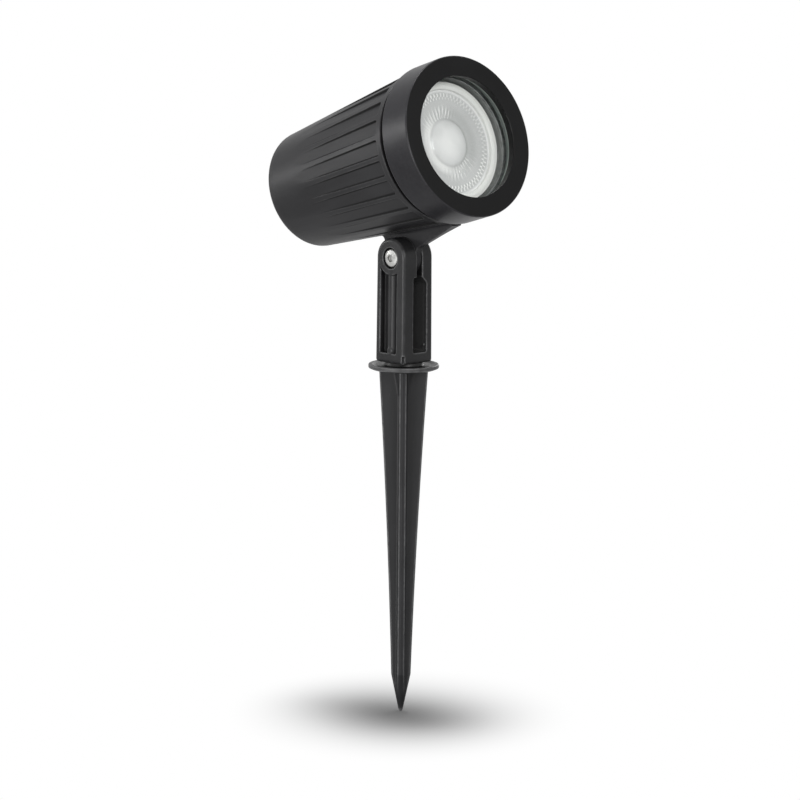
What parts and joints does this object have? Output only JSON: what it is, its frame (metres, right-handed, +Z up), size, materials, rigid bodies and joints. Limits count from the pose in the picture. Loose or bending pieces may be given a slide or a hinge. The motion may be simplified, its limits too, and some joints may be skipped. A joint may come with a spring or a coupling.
{
  "type": "garden spike spotlight",
  "caption": "Garden spotlight: a tapered fluted lamp head with a screw-on glass front, tilting in a forked stem on a cross-bladed ground spike, with a twist-lock lamp inside.",
  "frame": {"origin": "centre of the flange's underside, at soil level", "axes": "+Z up out of the soil, -Y the way the head faces, X along the tilt pivot, with the bright screw head on the -X side"},
  "size_m": [0.0666, 0.1172, 0.2716],
  "materials": {
    "spike_plastic": "moulded black plastic, satin with faint flow marks",
    "stem_coat": "die-cast aluminium under a dark grey powder coat",
    "body_coat": "die-cast aluminium under a charcoal satin powder coat",
    "bezel_coat": "die-cast aluminium under a charcoal satin powder coat",
    "bright_steel": "bright stainless steel",
    "zinc_steel": "zinc-plated steel",
    "seal_rubber": "black rubber",
    "gasket_silicone": "pale translucent silicone",
    "clear_glass": "clear toughened glass with a green edge",
    "lamp_white": "white moulded plastic",
    "lens_clear": "clear moulded plastic, frosted between the ribs",
    "board_green": "glass-fibre board with green varnish",
    "chip_yellow": "phosphor-filled silicone",
    "pin_nickel": "nickel-plated brass",
    "contact_brass": "brass",
    "ceramic_white": "white ceramic",
    "block_plastic": "off-white plastic",
    "gland_plastic": "black nylon",
    "lead_brown": "brown silicone insulation",
    "lead_blue": "blue silicone insulation",
    "lead_green": "green and yellow insulation"
  },
  "bodies": {
    "spike": {"ground_spike": "spike_plastic"},
    "stem": {"stem_fork": "stem_coat", "stem_stud": "zinc_steel", "pivot_screw": "bright_steel", "pivot_washer": "bright_steel", "pivot_nut": "bright_steel"},
    "head": {"lamp_housing": "body_coat", "bezel_seal": "seal_rubber", "lampholder": "ceramic_white", "holder_contacts": "contact_brass", "holder_screws": "zinc_steel", "holder_bracket": "zinc_steel", "bracket_screws": "zinc_steel", "terminal_block": "block_plastic", "terminal_screws": "contact_brass", "lead_live": "lead_brown", "lead_neutral": "lead_blue", "lead_earth": "lead_green", "earth_tag": "contact_brass", "earth_screw": "contact_brass", "gland_body": "gland_plastic", "gland_gasket": "seal_rubber", "gland_locknut": "gland_plastic", "gland_seal": "seal_rubber", "gland_nut": "gland_plastic"},
    "glass_pack": {"cover_glass": "clear_glass", "glass_gasket": "gasket_silicone", "glass_retainer": "zinc_steel"},
    "bezel": {"front_bezel": "bezel_coat"},
    "lamp": {"lamp_trim": "lamp_white", "lamp_lens": "lens_clear", "lamp_shell": "lamp_white", "lamp_led_board": "board_green", "lamp_chip": "chip_yellow", "lamp_driver_board": "board_green", "lamp_base": "lamp_white", "lamp_pins": "pin_nickel"}
  },
  "joints": [
    {"name": "stem_turn", "type": "hinge", "parent": "spike", "child": "stem", "pos_m": [0, 0, 0.0032], "axis": [0, 0, 1], "range_deg": [-180, 180]},
    {"name": "head_tilt", "type": "hinge", "parent": "stem", "child": "head", "pos_m": [0.0007, 0, 0.0461], "axis": [-1, 0, 0], "range_deg": [-78, 52]},
    {"name": "glass_slide", "type": "slide", "parent": "head", "child": "glass_pack", "axis": [0, -0.9511, 0.309], "range_m": [0, 0.00601]},
    {"name": "bezel_turn", "type": "hinge", "parent": "glass_pack", "child": "bezel", "pos_m": [0.0007, -0.03553, 0.09823], "axis": [0, -0.9511, 0.309], "range_deg": [0, 1080]},
    {"name": "lamp_twist", "type": "hinge", "parent": "head", "child": "lamp", "pos_m": [0.0007, -0.03553, 0.09823], "axis": [0, -0.9511, 0.309], "range_deg": [0, 25]}
  ],
  "couplings": [
    {"joint": "glass_slide", "follows": "bezel_turn", "m_per_rad": 0.00031831}
  ]
}
